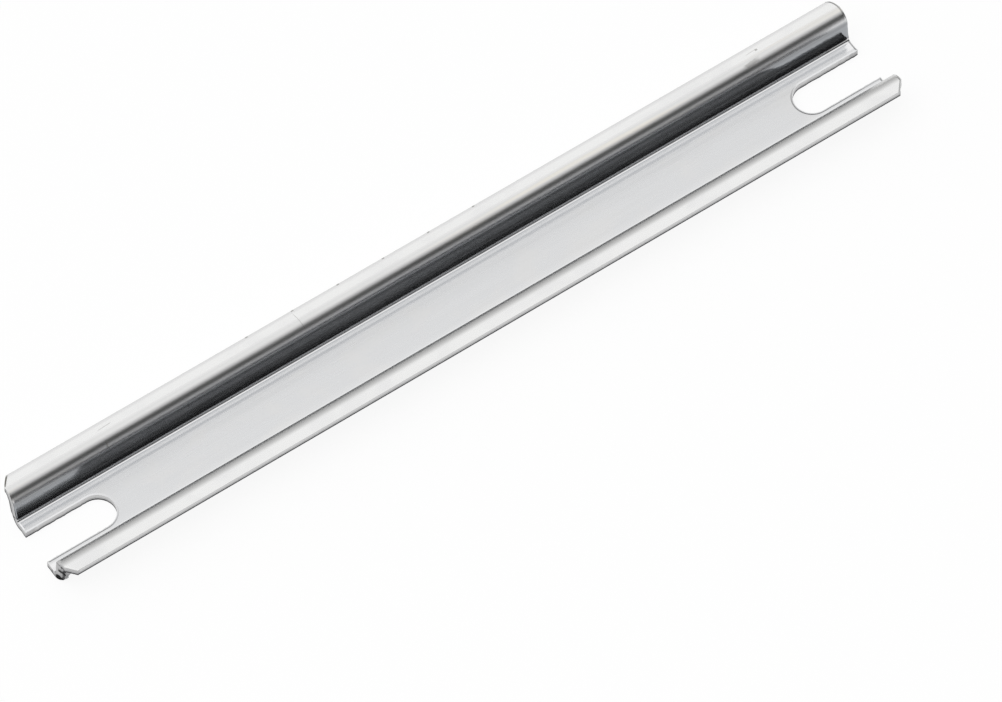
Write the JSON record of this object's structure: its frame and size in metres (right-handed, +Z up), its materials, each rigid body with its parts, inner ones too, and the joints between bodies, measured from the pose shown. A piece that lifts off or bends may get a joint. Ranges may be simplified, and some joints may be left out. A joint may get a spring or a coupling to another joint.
{
  "type": "mounting rail",
  "caption": "Short top-hat mounting rail rolled from one steel strip, with an open screw slot at each end; small terminal blocks and devices clip onto its flanges.",
  "frame": {"origin": "middle of the underside of the base, halfway along the rail", "axes": "+X along the rail, +Y across it, +Z up out of the open side of the channel"},
  "size_m": [0.115, 0.015, 0.0055],
  "materials": {
    "zinc_plated_steel": "bright zinc plating over cold-rolled strip, satin, with fine lines along the rolling direction"
  },
  "bodies": {
    "root": {"mounting_rail": "zinc_plated_steel"}
  },
  "joints": []
}
